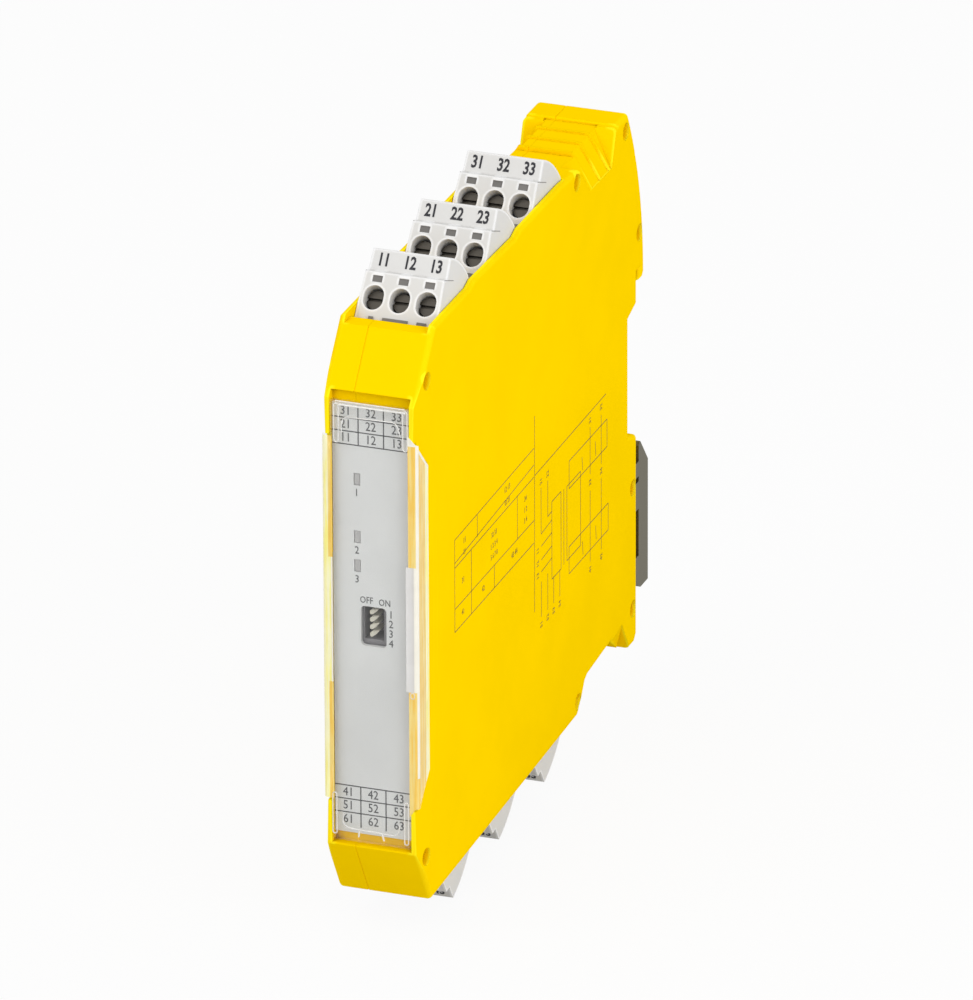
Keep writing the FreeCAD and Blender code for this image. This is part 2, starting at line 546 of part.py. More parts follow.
# Plug-in terminal: screw face in front, wire face behind, one hole of each per pole.
def terminal(upper, number):
    tag = "%s_%d" % ("upper" if upper else "lower", number + 1)
    start = bay_start(upper, number)

    def high(term):
        return level(upper, number, term)

    def deep(low, top):
        return levels(upper, number, low, top)

    def at(run):
        return start + " + " + word(run)

    def around(run, half):
        return (at("%s - %s" % (word(run), word(half))), at("%s + %s" % (word(run), word(half))))

    brow = "dims.faceRise - dims.plugSink"
    band = "dims.faceRun + dims.ledge + dims.bandRun"
    rim = "dims.plugLen - dims.edge"
    shape = [
        (at("-dims.toe"), high("-dims.plugDeep")),
        (at("-dims.toe"), high("-dims.plugSink * 2.2")),
        (at(0), high("-dims.plugSink")),
        (at("dims.faceRun"), high(brow)),
        (at("dims.faceRun + dims.ledge"), high(brow + " - dims.ease")),
        (at(band), high("dims.plugTall")),
        (at(band + " + dims.ease"), high("dims.plugTall"), "dims.backArc"),
        (at("dims.plugLen"), high("dims.backFoot")),
        (at("dims.plugLen"), high("-dims.plugDeep")),
    ]
    if not upper:
        shape = turned_back(shape)
    blank = prism("plug_blank_" + tag, shape, evenly("dims.plugHalf"))
    lean = "atan(dims.faceRise / dims.faceRun)"
    tilt = lean if upper else "180 deg - " + lean
    rear = "atan(dims.backRise / dims.backRun)"
    back = "-" + rear if upper else "180 deg + " + rear
    bodies = [blank]
    holes = []
    screws = []
    cages = []

    # a place at a depth under the middle of the screw face or of the wire face
    def under_face(depth):
        return (at("dims.faceRun * dims.holeAt + %s * sin(%s)" % (depth, lean)),
                high("dims.faceRise * dims.holeAt - dims.plugSink - %s * cos(%s)" % (depth, lean)))

    def under_back(depth):
        return (at("%s - dims.backRun / 2 - %s * sin(%s)" % (rim, depth, rear)),
                high("dims.backFoot + dims.backRise / 2 - %s * cos(%s)" % (depth, rear)))

    cageLow = "dims.cageTop - dims.cageTall"
    for pole in poles:
        mark = "%s_%d" % (tag, pole + 2)
        middle = "dims.pole * %d" % pole

        def across(half):
            return ("%s - %s" % (middle, word(half)), "%s + %s" % (middle, word(half)))

        sides = [block("hole_middle_" + mark, evenly("dims.holeRad"), evenly("dims.holeStretch"),
                       (0.0, "dims.holeDeep * 2"))]
        for end, shift in zip(("low", "high"), evenly("dims.holeStretch")):
            curve = rod("hole_%s_%s" % (end, mark), "dims.holeRad", "dims.holeDeep * 2")
            sides.append(place(curve, 0.0, shift, 0.0))
        holes.append(place(join("hole_" + mark, sides), middle, *under_face("dims.holeDeep"), tilt))
        entry = rod("wire_" + mark, "dims.wireRad", "dims.wireDeep * 1.6")
        holes.append(place(entry, middle, *under_back("dims.wireDeep"), back))
        holes.append(block("chamber_" + mark, across("dims.cageHalf + dims.slip"),
                           around("dims.cageAt", "dims.cageLen / 2 + dims.slip"),
                           deep(cageLow + " - dims.slip", "dims.cageTop + dims.slip")))
        holes.append(block("socket_" + mark, across("dims.legHalf + dims.ease"),
                           around("dims.legAt", "dims.legThick / 2 + dims.ease"),
                           deep("-dims.plugDeep - dims.over", cageLow)))
        holes.append(block("test_" + mark, across("dims.holeRad / 2"),
                           (at("dims.faceRun / 2"), at("dims.faceRun + dims.ledge")),
                           deep("dims.faceRise * 0.54", "dims.faceRise * 0.69")))
        head = rod("screw_rod_" + mark, "dims.screwRad", "dims.screwTall")
        kerf = block("screw_kerf_" + mark, evenly("dims.screwRad + dims.over"), evenly("dims.kerf / 2"),
                     ("dims.screwTall - dims.kerf * 1.4", "dims.screwTall + dims.over"))
        screw = cut("screw_" + mark, head, kerf)
        screws.append(place(screw, middle, *under_face("(dims.holeDeep - dims.ease)"), tilt))
        frame = block("cage_block_" + mark, across("dims.cageHalf"),
                      around("dims.cageAt", "dims.cageLen / 2"), deep(cageLow, "dims.cageTop"))
        gate = block("cage_gate_" + mark, across("dims.cageHalf - dims.cageWall"),
                     around("dims.cageAt", "dims.cageLen / 2 + dims.over"),
                     deep(cageLow + " + dims.cageWall * 2", "dims.cageTop - dims.cageWall * 2"))
        mouth = block("cage_mouth_" + mark, across("dims.cageHalf - dims.cageWall"),
                      around("dims.cageAt", "dims.cageLen / 2 - dims.cageWall * 2"),
                      deep("dims.cageTop - dims.cageTall / 2", "dims.cageTop + dims.over"))
        cages.append(cut("cage_" + mark, frame, join("cage_room_" + mark, [gate, mouth])))
    taper = [
        ("dims.plugHalf", high(0)),
        ("dims.plugHalf + dims.over", high(0)),
        ("dims.plugHalf + dims.over", high("dims.plugTall + dims.ease")),
        ("dims.plugHalf - dims.draft", high("dims.plugTall + dims.ease")),
    ]
    holes.append(prism("draft_right_" + tag, taper, (start, at("dims.plugLen + dims.over")), "y"))
    holes.append(prism("draft_left_" + tag, mirrored(taper), (start, at("dims.plugLen + dims.over")), "y"))
    for side in (-1, 1):
        middle = "dims.tabAt + dims.tabStep * %d" % side
        bodies.append(block("toe_tab_%s_%d" % (tag, side + 2),
                            (middle + " - dims.tabHalf", middle + " + dims.tabHalf"),
                            (at("-dims.toe - dims.ease"), at(0)),
                            deep("-dims.plugSink * 2.4", "-dims.plugSink * 1.5")))
    plug = cut("plug_cut_" + tag, join("plug_body_" + tag, bodies), join("plug_tools_" + tag, holes))
    named(plug, "plug_" + tag)
    named(group("screw_set_" + tag, screws), "screws_" + tag)
    named(group("cage_set_" + tag, cages), "clamps_" + tag)

    # pin header on the bay floor
    bar = block("header_bar_" + tag, evenly("dims.plugHalf - dims.ease"),
                (at("dims.edge"), at("dims.plugLen - dims.edge")),
                deep("-dims.bayDeep", "-dims.bayDeep + dims.headerTall"))
    slots = []
    legs = []
    for pole in poles:
        mark = "%s_%d" % (tag, pole + 2)
        middle = "dims.pole * %d" % pole
        wide = (middle + " - dims.legHalf", middle + " + dims.legHalf")
        thick = around("dims.legAt", "dims.legThick / 2")
        legs.append(block("leg_" + mark, wide, thick,
                          deep("-dims.bayDeep - dims.over * 1.8", cageLow + " - dims.slip * 2")))
        slots.append(block("leg_slot_" + mark, wide, thick,
                           deep("-dims.bayDeep - dims.over", "-dims.bayDeep + dims.headerTall + dims.over")))
    named(cut("header_cut_" + tag, bar, join("leg_slots_" + tag, slots)), "header_" + tag)
    return legs


legs = []
for upper in (True, False):
    for number in range(3):
        legs += terminal(upper, number)
named(group("header_pin_set", legs), "header_pins")

# Label plate with its switch window and lamp windows.
lampRows = ["dims.faceTop - dims.lampTall * %s" % word(steps) for steps in (7.38, 12.52, 15.1)]
plate = block("plate_blank", evenly("dims.labelHalf"),
              ("dims.front + dims.slip", "dims.front + dims.labelThick"),
              ("dims.faceBase + dims.edge * 3.5", "dims.faceTop - dims.edge * 2.5"))
through = ("dims.front - dims.over", "dims.front + dims.over")
windows = [block("switch_window", ("dims.dipX - dims.dipHalf", "dims.dipX + dims.dipHalf"), through,
                 ("dims.dipZ - dims.dipPitch * 3", "dims.dipZ + dims.dipPitch * 2.4"))]
guideFront = "dims.front + dims.slip * 2"
guideBack = "dims.front + dims.guideLen"
lamps = []
for number, row in enumerate(lampRows, 1):
    windows.append(block("lamp_window_%d" % number,
                         ("dims.lampX - dims.lampHalf - dims.slip", "dims.lampX + dims.lampHalf + dims.slip"),
                         through,
                         (row + " - dims.lampTall / 2 - dims.slip",
                          row + " + dims.lampTall / 2 + dims.slip")))
    guide = block("guide_%d" % number, ("dims.lampX - dims.lampHalf", "dims.lampX + dims.lampHalf"),
                  (guideFront, guideBack), (row + " - dims.lampTall / 2", row + " + dims.lampTall / 2"))
    named(guide, "light_guide_%d" % number)
    lamps.append(block("lamp_%d" % number,
                       ("dims.lampX - dims.lampHalf * 1.6", "dims.lampX + dims.lampHalf * 1.6"),
                       (guideBack + " + dims.slip", guideBack + " + dims.lampTall * 0.8"),
                       (row + " - dims.lampTall * 0.57", row + " + dims.lampTall * 0.57")))
named(cut("label_cut", plate, join("label_windows", windows)), "label_plate")
named(group("lamp_set", lamps), "lamps")

# Slide switch and its four levers.
leverTop = "dims.front + dims.labelThick + dims.edge"
leverMid = leverTop + " + dims.leverWide * 1.4"
leverLow = leverMid + " + dims.leverTall"
body = block("switch_blank",
             ("dims.dipX - dims.dipHalf - dims.leverTall", "dims.dipX + dims.dipHalf + dims.leverTall"),
             ("dims.front + dims.labelThick + dims.ease", leverLow + " + dims.leverWide * 2"),
             ("dims.dipZ - dims.dipPitch * 3.4", "dims.dipZ + dims.dipPitch * 3.4"))
leverSpan = ("dims.dipX - dims.leverWide / 3", "dims.dipX + dims.leverWide * 2 / 3")
room = block("switch_room", (leverSpan[0] + " - dims.leverTravel - dims.ease", leverSpan[1] + " + dims.ease"),
             ("dims.front", leverLow + " + dims.slip"),
             ("dims.dipZ - dims.dipPitch * 2.3", "dims.dipZ + dims.dipPitch * 2.3"))
named(cut("switch_cut", body, room), "switch_body")
for number in range(4):
    row = "dims.dipZ + dims.dipPitch * %s" % word(1.5 - number)
    tall = (row + " - dims.leverTall / 2", row + " + dims.leverTall / 2")
    foot = block("lever_foot_%d" % (number + 1), leverSpan, (leverMid, leverLow), tall)
    ramp = [
        (leverMid, tall[0]),
        (leverTop, tall[0]),
        (leverTop, row + " + dims.leverTall / 6"),
        (leverMid, tall[1]),
    ]
    finger = prism("lever_finger_%d" % (number + 1), ramp,
                   (leverSpan[0] + " + dims.slip", leverSpan[1] + " - dims.slip"))
    named(join("lever_%d" % (number + 1), [foot, finger]), "switch_lever_%d" % (number + 1))

# Board and what it carries.
boardFront = "dims.front + dims.guideLen + dims.lampTall"
board = block("board", ("dims.boardX", "dims.boardX + dims.boardThick"),
              (boardFront, "dims.relief - dims.over * 2 - dims.ease"),
              (cavityLow + " + dims.ease", cavityHigh + " - dims.ease"))
named(board, "main_board")
relayTop = "dims.dipZ - dims.over"
for number in (1, 2):
    low = boardFront + " + dims.guideLen * 1.5 + (dims.relayLen + dims.guideLen) * %d" % (number - 1)
    can = block("relay_%d" % number, ("dims.boardX - dims.relayDeep", "dims.boardX"),
                (low, low + " + dims.relayLen"), (relayTop + " - dims.relayTall", relayTop))
    named(can, "board_relay_%d" % number)
named(place(rod("capacitor", "dims.capRad", "dims.capLen"), "dims.boardX - dims.capRad - dims.ease",
            boardFront + " + dims.guideLen * 1.5 + dims.relayLen * 2",
            "dims.dipZ + dims.capRad * 2.8"), "capacitor")
named(block("driver", ("dims.boardX - dims.relayDeep * 0.66", "dims.boardX"),
            (boardFront + " + dims.guideLen * 2.5", boardFront + " + dims.guideLen * 2.5 + dims.driverLen"),
            ("dims.dipZ + dims.driverTall", "dims.dipZ + dims.driverTall * 2")), "driver_block")

# Clear cover, hinged at its lower edge, with a solid block in each side notch and four corner bars.
coverBack = "dims.coverY + dims.coverWall"
tongueHalf = "dims.labelHalf - dims.slip"
tongueTop = "dims.faceTop - dims.edge"
tongueBase = "dims.faceBase + dims.edge * 2"
shell = [
    block("cover_pane", evenly("dims.half"), ("dims.coverY", coverBack), ("dims.coverBase", "dims.coverTop")),
    block("cover_tongue", evenly(tongueHalf), ("dims.coverY", coverBack), (tongueBase, tongueTop)),
]
for sign, side in ((1, "right"), (-1, "left")):
    outer = ("dims.half - dims.coverWall", "dims.half")
    deep = (tongueHalf + " + dims.ease", "dims.half")
    if sign < 0:
        outer = ("-dims.half", "-dims.half + dims.coverWall")
        deep = ("-dims.half", "-(%s + dims.ease)" % tongueHalf)
    shell.append(prism("cover_" + side, flange_shape(0.0), outer))
    shell.append(block("cover_block_" + side, deep, ("dims.coverY", "dims.flangeY"),
                       ("dims.gripBase", "dims.gripTop")))
shell.append(cross_rod("cover_knuckle", "dims.coverWall / 2", evenly(tongueHalf),
                       "dims.coverY + dims.coverWall / 2", tongueBase))
blank = join("cover_join", shell)
blank.Refine = True
doc.recompute()
rounded = doc.addObject("Part::Fillet", "cover_round")
rounded.Base = blank
corners = []
for i, edge in enumerate(blank.Shape.Edges, 1):
    spots = [vertex.Point for vertex in edge.Vertexes]
    if all(abs(abs(p.x) - sheet.half) < 1e-4 and abs(p.y - sheet.coverY) < 1e-4 for p in spots):
        corners.append((i, sheet.coverRound, sheet.coverRound))
rounded.Edges = corners
named(rounded, "front_cover")

# Sheet-metal rail foot that slides down to let the rail go.
footMid = "(dims.footTop + dims.footBase) / 2"
footShoulder = "dims.footTop - dims.footTravel * 1.25"
notchBack = "dims.footFront + dims.notchDeep"
cheek = [
    ("dims.footFront", "dims.footTop - dims.sheetThick * 3"),
    (notchBack, "dims.footTop - dims.sheetThick * 3"),
    (notchBack, "dims.footTop - dims.edge"),
    (notchBack + " + dims.edge", "dims.footTop"),
    (notchBack + " + dims.edge * 1.5", "dims.footTop"),
    ("dims.footBack", footShoulder),
    ("dims.footBack", "dims.footBase"),
    ("dims.footBack - dims.footTravel", "dims.footBase"),
    ("dims.footFront", "dims.footBase + dims.sheetThick * 2"),
    ("dims.footFront", footMid + " - dims.footNotch * 0.84"),
    (notchBack, footMid + " - dims.footNotch * 0.84"),
    (notchBack, footMid + " + dims.footNotch * 0.16"),
    ("dims.footFront", footMid + " + dims.footNotch * 0.16"),
    ("dims.footFront", footMid + " + dims.footNotch * 0.74"),
    (notchBack, footMid + " + dims.footNotch * 0.74"),
    (notchBack, footMid + " + dims.footNotch * 0.74 + dims.footNick"),
    ("dims.footFront", footMid + " + dims.footNotch * 0.74 + dims.footNick"),
]
tongue = ("dims.footBase + dims.tongueDeep", "dims.footTop - dims.footTravel - dims.over - dims.sheetThick")
pieces = [
    prism("cheek_right", cheek, ("dims.footHalf - dims.sheetThick", "dims.footHalf")),
    prism("cheek_left", cheek, ("-dims.footHalf", "-dims.footHalf + dims.sheetThick")),
    block("foot_back", evenly("dims.footHalf"), ("dims.footBack - dims.sheetThick", "dims.footBack"),
          ("dims.footBase", footShoulder)),
    block("foot_tongue", evenly("dims.tongueHalf"),
          ("-dims.tongueDeep", "dims.footBack - dims.sheetThick / 2"), tongue),
]
springHole = "dims.springRad + dims.springWire + dims.ease"
springY = "-dims.tongueDeep / 2"
springFoot = "dims.footBase - dims.footTravel - dims.over + dims.springWire"
springTop = tongue[1] + " - dims.tongueDeep"
bore = block("spring_bore", evenly(springHole),
             (springY + " - (%s)" % springHole, springY + " + %s" % springHole),
             ("dims.footBase", springTop))
named(cut("foot_cut", join("foot_join", pieces), bore), "rail_foot")
coil = doc.addObject("Part::Helix", "coil")
bind(coil, "Radius", "dims.springRad")
bind(coil, "Pitch", "dims.springTurn")
coilTall = "%s - (%s) - dims.springWire - dims.footTravel - dims.ease" % (word(springTop), springFoot)
bind(coil, "Height", coilTall)
place(coil, 0, springY, springFoot)
wire = doc.addObject("Part::Circle", "coil_wire")
bind(wire, "Radius", "dims.springWire")
wire.Placement = FreeCAD.Placement(V(0, 0, 0), FreeCAD.Rotation(V(1, 0, 0), 90))
place(wire, "dims.springRad", springY, springFoot)
spring = doc.addObject("Part::Sweep", "spring_sweep")
spring.Sections = [wire]
spring.Spine = (coil, ["Edge1"])
spring.Solid = True
spring.Frenet = True
named(spring, "foot_spring")

doc.recompute()
os.makedirs("parts", exist_ok=True)
for item in doc.Objects:
    if "Invalid" in item.State or "Error" in item.State:
        raise RuntimeError("feature failed: " + item.Name)
for item in nodes:
    if item.Shape.isNull() or not item.Shape.isValid():
        raise RuntimeError("bad shape: " + item.Label)
    print(item.Label, len(item.Shape.Solids), round(item.Shape.Volume, 2))
    item.Shape.exportStep("parts/" + item.Label + ".step")
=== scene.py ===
import json
import math
import bmesh
import bpy
from mathutils import Matrix, Vector


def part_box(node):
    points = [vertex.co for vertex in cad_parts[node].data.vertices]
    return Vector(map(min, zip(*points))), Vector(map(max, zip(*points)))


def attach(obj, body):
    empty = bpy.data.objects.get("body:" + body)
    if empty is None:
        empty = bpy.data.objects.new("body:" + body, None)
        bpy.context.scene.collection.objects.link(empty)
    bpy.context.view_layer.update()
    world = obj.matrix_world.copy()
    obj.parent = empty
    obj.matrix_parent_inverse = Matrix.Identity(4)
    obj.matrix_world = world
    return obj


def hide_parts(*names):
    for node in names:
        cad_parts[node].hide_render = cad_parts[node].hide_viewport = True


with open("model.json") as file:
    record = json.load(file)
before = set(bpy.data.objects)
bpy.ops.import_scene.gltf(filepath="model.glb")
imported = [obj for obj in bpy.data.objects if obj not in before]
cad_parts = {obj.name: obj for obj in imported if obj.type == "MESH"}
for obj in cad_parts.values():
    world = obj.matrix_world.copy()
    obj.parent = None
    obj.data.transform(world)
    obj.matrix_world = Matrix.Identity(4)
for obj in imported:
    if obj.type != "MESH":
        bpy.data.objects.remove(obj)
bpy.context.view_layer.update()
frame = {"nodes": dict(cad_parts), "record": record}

nodes = frame["nodes"]
mm = 0.001
print("frame loaded:", len(nodes), "nodes")


# moulded finishes: grain is counted per metre, edge is the rounding in mm and vary the drift in tone;
# lit is the colour of a painted highlight on thin edges and shade that of painted shade in hollows, each with
# its reach in mm
finishes = {
    "yellowHousing": dict(colour=(0.95, 0.63, 0.0), rough=0.45, shine=0.0, grain=2600, bump=0.05, edge=0.25,
                          vary=0.02, lit=(1.0, 0.83, 0.012), litReach=0.6, litFrom=6.9,
                          shade=(0.28, 0.11, 0.0), shadeReach=2.4),
    "plugGrey": dict(colour=(0.64, 0.632, 0.615), rough=0.45, shine=0.2, grain=3000, bump=0.05, edge=0.2,
                     vary=0.02, lit=(0.8, 0.8, 0.8), litReach=0.5, litFrom=0.0,
                     shade=(0.16, 0.14, 0.11), shadeReach=1.6),
    "headerGrey": dict(colour=(0.4, 0.41, 0.41), rough=0.5, shine=0.3, grain=3000, bump=0.05, edge=0.2,
                       vary=0.03),
    "labelSilver": dict(colour=(0.75, 0.745, 0.745), rough=0.45, shine=0.2, grain=5200, bump=0.03, edge=0.0,
                        vary=0.035),
    "printInk": dict(colour=(0.035, 0.035, 0.04), rough=0.6, shine=0.2, grain=6000, bump=0.04, edge=0.0,
                     vary=0.1),
    "labelInk": dict(colour=(0.1, 0.1, 0.105), rough=0.6, shine=0.2, grain=6000, bump=0.04, edge=0.0,
                     vary=0.1),
    "sideInk": dict(colour=(0.3, 0.2, 0.01), rough=0.6, shine=0.2, grain=6000, bump=0.04, edge=0.0,
                    vary=0.15),
    # slotShade is painted shade: dark sheets in the plugs' toe gaps, side slits and test openings
    "slotShade": dict(colour=(0.18, 0.173, 0.165), rough=0.6, shine=0.1, grain=5000, bump=0.04, edge=0.0,
                      vary=0.12),
    "switchBlack": dict(colour=(0.24, 0.23, 0.24), rough=0.5, shine=0.2, grain=3000, bump=0.05, edge=0.15,
                        vary=0.1),
    "leverCream": dict(colour=(0.72, 0.68, 0.58), rough=0.4, shine=0.3, grain=3000, bump=0.04, edge=0.1,
                       vary=0.03),
    "boardGreen": dict(colour=(0.02, 0.16, 0.06), rough=0.4, shine=0.4, grain=900, bump=0.06, edge=0.1,
                       vary=0.2),
    "relayCase": dict(colour=(0.05, 0.05, 0.06), rough=0.4, shine=0.4, grain=2400, bump=0.05, edge=0.4,
                      vary=0.08),
    "lampLens": dict(colour=(0.49, 0.475, 0.475), rough=0.35, shine=0.3, grain=3000, bump=0.03, edge=0.1,
                     vary=0.03),
}
metals = {
    "footSteel": dict(colour=(0.165, 0.152, 0.108), rough=0.5, stretch=(400, 400, 9000)),
    "screwSteel": dict(colour=(0.052, 0.047, 0.04), rough=0.4, stretch=(2500, 2500, 2500)),
    "pinBrass": dict(colour=(0.7, 0.52, 0.22), rough=0.28, stretch=(2500, 2500, 2500)),
    "springSteel": dict(colour=(0.5, 0.5, 0.5), rough=0.3, stretch=(3000, 3000, 3000)),
}
# clear finishes: cloud is the painted share, which on the glint and glow finishes is painted highlight and
# painted light seen through the plastic; least and most bound the glint
clears = {
    "clearCover": dict(tint=(0.975, 0.98, 0.975), rough=0.04, least=0.03, most=0.55, power=3.0, cloud=0.0,
                       paint=(1, 1, 1)),
    "whiteGlint": dict(tint=(1.0, 1.0, 1.0), rough=0.2, least=0.02, most=0.3, power=3.0, cloud=0.75,
                      paint=(1.0, 0.97, 0.86)),
    "paleGlint": dict(tint=(1.0, 1.0, 0.9), rough=0.2, least=0.02, most=0.3, power=3.0, cloud=0.85,
                     paint=(1.0, 0.93, 0.28), streak=(1.0, 0.97, 0.62)),
    "amberGlow": dict(tint=(1.0, 0.95, 0.8), rough=0.2, least=0.02, most=0.2, power=3.0, cloud=0.76,
                      paint=(1.0, 0.66, 0.12), streak=(1.0, 0.79, 0.27)),
    "paleBeadGlint": dict(tint=(1.0, 1.0, 1.0), rough=0.1, least=0.05, most=0.6, power=2.0, cloud=0.5,
                     paint=(0.97, 0.96, 0.93)),
    "frostedBlock": dict(tint=(0.98, 0.98, 0.98), rough=0.3, least=0.02, most=0.2, power=3.0, cloud=0.62,
                         paint=(0.9, 0.885, 0.87)),
}
finishMade = {}


def startMaterial(name):
    material = bpy.data.materials.new(name)
    material.use_nodes = True
    finishMade[name] = material
    tree = material.node_tree
    return tree, tree.nodes["Principled BSDF"], tree.nodes.new("ShaderNodeTexCoord")


# links the values that are sockets and sets the others
def feed(tree, node, values):
    for socket, value in values.items():
        if isinstance(value, bpy.types.NodeSocket):
            tree.links.new(value, node.inputs[socket])
        else:
            node.inputs[socket].default_value = value


def addNode(tree, kind, values):
    node = tree.nodes.new("ShaderNode" + kind)
    feed(tree, node, values)
    return node


def addNoise(tree, place, scale, detail=2):
    return addNode(tree, "TexNoise", {"Vector": place, "Scale": scale, "Detail": detail}).outputs["Fac"]


def addRange(tree, value, given=(0, 1), wanted=(0, 1)):
    return addNode(tree, "MapRange", {"Value": value, "From Min": given[0], "From Max": given[1],
                                      "To Min": wanted[0], "To Max": wanted[1]}).outputs["Result"]


def addMath(tree, operation, first, second=0):
    node = addNode(tree, "Math", {0: first, 1: second})
    node.operation = operation
    return node.outputs[0]


def addRamp(tree, share, paints, span=(0, 1)):
    node = addNode(tree, "ValToRGB", {"Fac": share})
    for point, place, paint in zip(node.color_ramp.elements, span, paints):
        point.position = place
        point.color = paint
    return node.outputs["Color"]


def mixShaders(tree, share, first, second):
    return addNode(tree, "MixShader", {"Fac": share, 1: first, 2: second}).outputs[0]


# the colour sockets of this node are its seventh and eighth, and its third output
def mixColours(tree, share, first, second):
    node = tree.nodes.new("ShaderNodeMix")
    node.data_type = "RGBA"
    feed(tree, node, {0: share, 6: first, 7: second})
    return node.outputs[2]


def toned(colour, factor):
    return (*[min(1, part * factor) for part in colour], 1)


# litSeen and shadeSeen: openness where the painted highlight and the painted shade start and are full; band
# and flat keep the highlight to the outer edges
moulding = dict(driftScale=60, driftDetail=3, toneSpan=(0.35, 0.65), litSeen=(0.97, 0.78),
                shadeSeen=(0.46, 0.3), band=0.5, flat=(0.99, 0.9), samples=6, glossSwing=0.06,
                bumpDepth=0.1, refraction=1.46)


# paints light and shade by how near other surfaces are: a highlight on thin edges, found inside the solid,
# and shade in hollows, found outside it
def tinted(tree, paint, tint, reach, inside, seen):
    probe = addNode(tree, "AmbientOcclusion", {"Distance": reach * mm})
    probe.samples = moulding["samples"]
    probe.inside = inside
    probe.only_local = True
    share = addRange(tree, probe.outputs["AO"], given=seen)
    return mixColours(tree, share, paint, (*tint, 1))


def sideways(tree, vector):
    split = addNode(tree, "SeparateXYZ", {"Vector": vector})
    return addMath(tree, "ABSOLUTE", split.outputs["X"])


# mask of the painted edge highlight: one near the two sides, but nothing on the flat sides themselves
def outerEdge(tree, coords, start):
    ends = ((start - moulding["band"]) * mm, (start + moulding["band"]) * mm)
    outer = addRange(tree, sideways(tree, coords.outputs["Object"]), given=ends)
    turned = addRange(tree, sideways(tree, coords.outputs["Normal"]), given=moulding["flat"])
    return addMath(tree, "MULTIPLY", outer, turned)


# moulded plastic: faint tone drift, fine spark-eroded grain and softly rounded edges
def mouldedPlastic(name, look):
    tree, shader, coords = startMaterial(name)
    place = coords.outputs["Object"]
    drift = addNoise(tree, place, moulding["driftScale"], moulding["driftDetail"])
    tones = [toned(look["colour"], factor) for factor in (1 - look["vary"], 1 + look["vary"])]
    paint = addRamp(tree, drift, tones, moulding["toneSpan"])
    # painted highlight on thin edges, kept to the outer edges where litFrom is set, then painted shade in
    # hollows
    if "lit" in look:
        bare = paint
        paint = tinted(tree, paint, look["lit"], look["litReach"], True, moulding["litSeen"])
        if look["litFrom"]:
            paint = mixColours(tree, outerEdge(tree, coords, look["litFrom"]), bare, paint)
        paint = tinted(tree, paint, look["shade"], look["shadeReach"], False, moulding["shadeSeen"])
    grain = addNoise(tree, place, look["grain"])
    swing = moulding["glossSwing"]
    gloss = addRange(tree, grain, wanted=(look["rough"] - swing, look["rough"] + swing))
    bump = addNode(tree, "Bump", {"Strength": look["bump"], "Distance": moulding["bumpDepth"] * mm,
                                  "Height": grain})
    if look["edge"]:
        rounding = addNode(tree, "Bevel", {"Radius": look["edge"] * mm})
        rounding.samples = moulding["samples"]
        feed(tree, bump, {"Normal": rounding.outputs["Normal"]})
    feed(tree, shader, {"Base Color": paint, "Roughness": gloss, "Normal": bump.outputs["Normal"],
                        "IOR": moulding["refraction"], "Specular IOR Level": look["shine"]})


plating = dict(detail=4, tones=(0.85, 1.12), gloss=(-0.08, 0.1))


# plated metal: stretched streaks in tone and gloss
def platedMetal(name, look):
    tree, shader, coords = startMaterial(name)
    drawn = addNode(tree, "Mapping", {"Vector": coords.outputs["Object"], "Scale": look["stretch"]})
    streak = addNoise(tree, drawn.outputs["Vector"], 1, plating["detail"])
    paint = addRamp(tree, streak, [toned(look["colour"], factor) for factor in plating["tones"]])
    gloss = addRange(tree, streak, wanted=[look["rough"] + change for change in plating["gloss"]])
    feed(tree, shader, {"Base Color": paint, "Roughness": gloss, "Metallic": 1})


clearing = dict(waveScale=320, haze=0.05, shine=0.2, cloudSwing=0.08, draw=(1, 1, 0.06), streakScale=1900,
                streakSpan=(0.42, 0.62))


# clear polycarbonate: a see-through part, a painted cloudy part, which on the glint and glow finishes is
# painted light, and a glint that grows at a slant
def clearPlastic(name, look):
    tree, shader, coords = startMaterial(name)
    place = coords.outputs["Object"]
    wave = addNoise(tree, place, clearing["waveScale"])
    haze = addRange(tree, wave, wanted=(look["rough"], look["rough"] + clearing["haze"]))
    paint = (*look["paint"], 1)
    if "streak" in look:  # faint lengthwise streaks
        drawn = addNode(tree, "Mapping", {"Vector": place, "Scale": clearing["draw"]})
        grain = addNoise(tree, drawn.outputs["Vector"], clearing["streakScale"])
        paint = addRamp(tree, grain, (paint, (*look["streak"], 1)), clearing["streakSpan"])
    feed(tree, shader, {"Base Color": paint, "Specular IOR Level": clearing["shine"], "Roughness": haze})
    swing = clearing["cloudSwing"] if look["cloud"] else 0
    cloud = addRange(tree, wave, wanted=(look["cloud"] - swing, look["cloud"] + swing))
    through = addNode(tree, "BsdfTransparent", {"Color": (*look["tint"], 1)})
    milk = mixShaders(tree, cloud, through.outputs[0], shader.outputs[0])
    glint = addNode(tree, "BsdfAnisotropic", {"Roughness": haze})
    slant = addNode(tree, "LayerWeight", {}).outputs["Facing"]
    share = addRange(tree, addMath(tree, "POWER", slant, look["power"]), wanted=(look["least"], look["most"]))
    surface = mixShaders(tree, share, milk, glint.outputs[0])
    feed(tree, tree.nodes["Material Output"], {"Surface": surface})


for makeFinish, looks in ((mouldedPlastic, finishes), (platedMetal, metals), (clearPlastic, clears)):
    for name, look in looks.items():
        makeFinish(name, look)
print("finishes made:", len(finishMade))

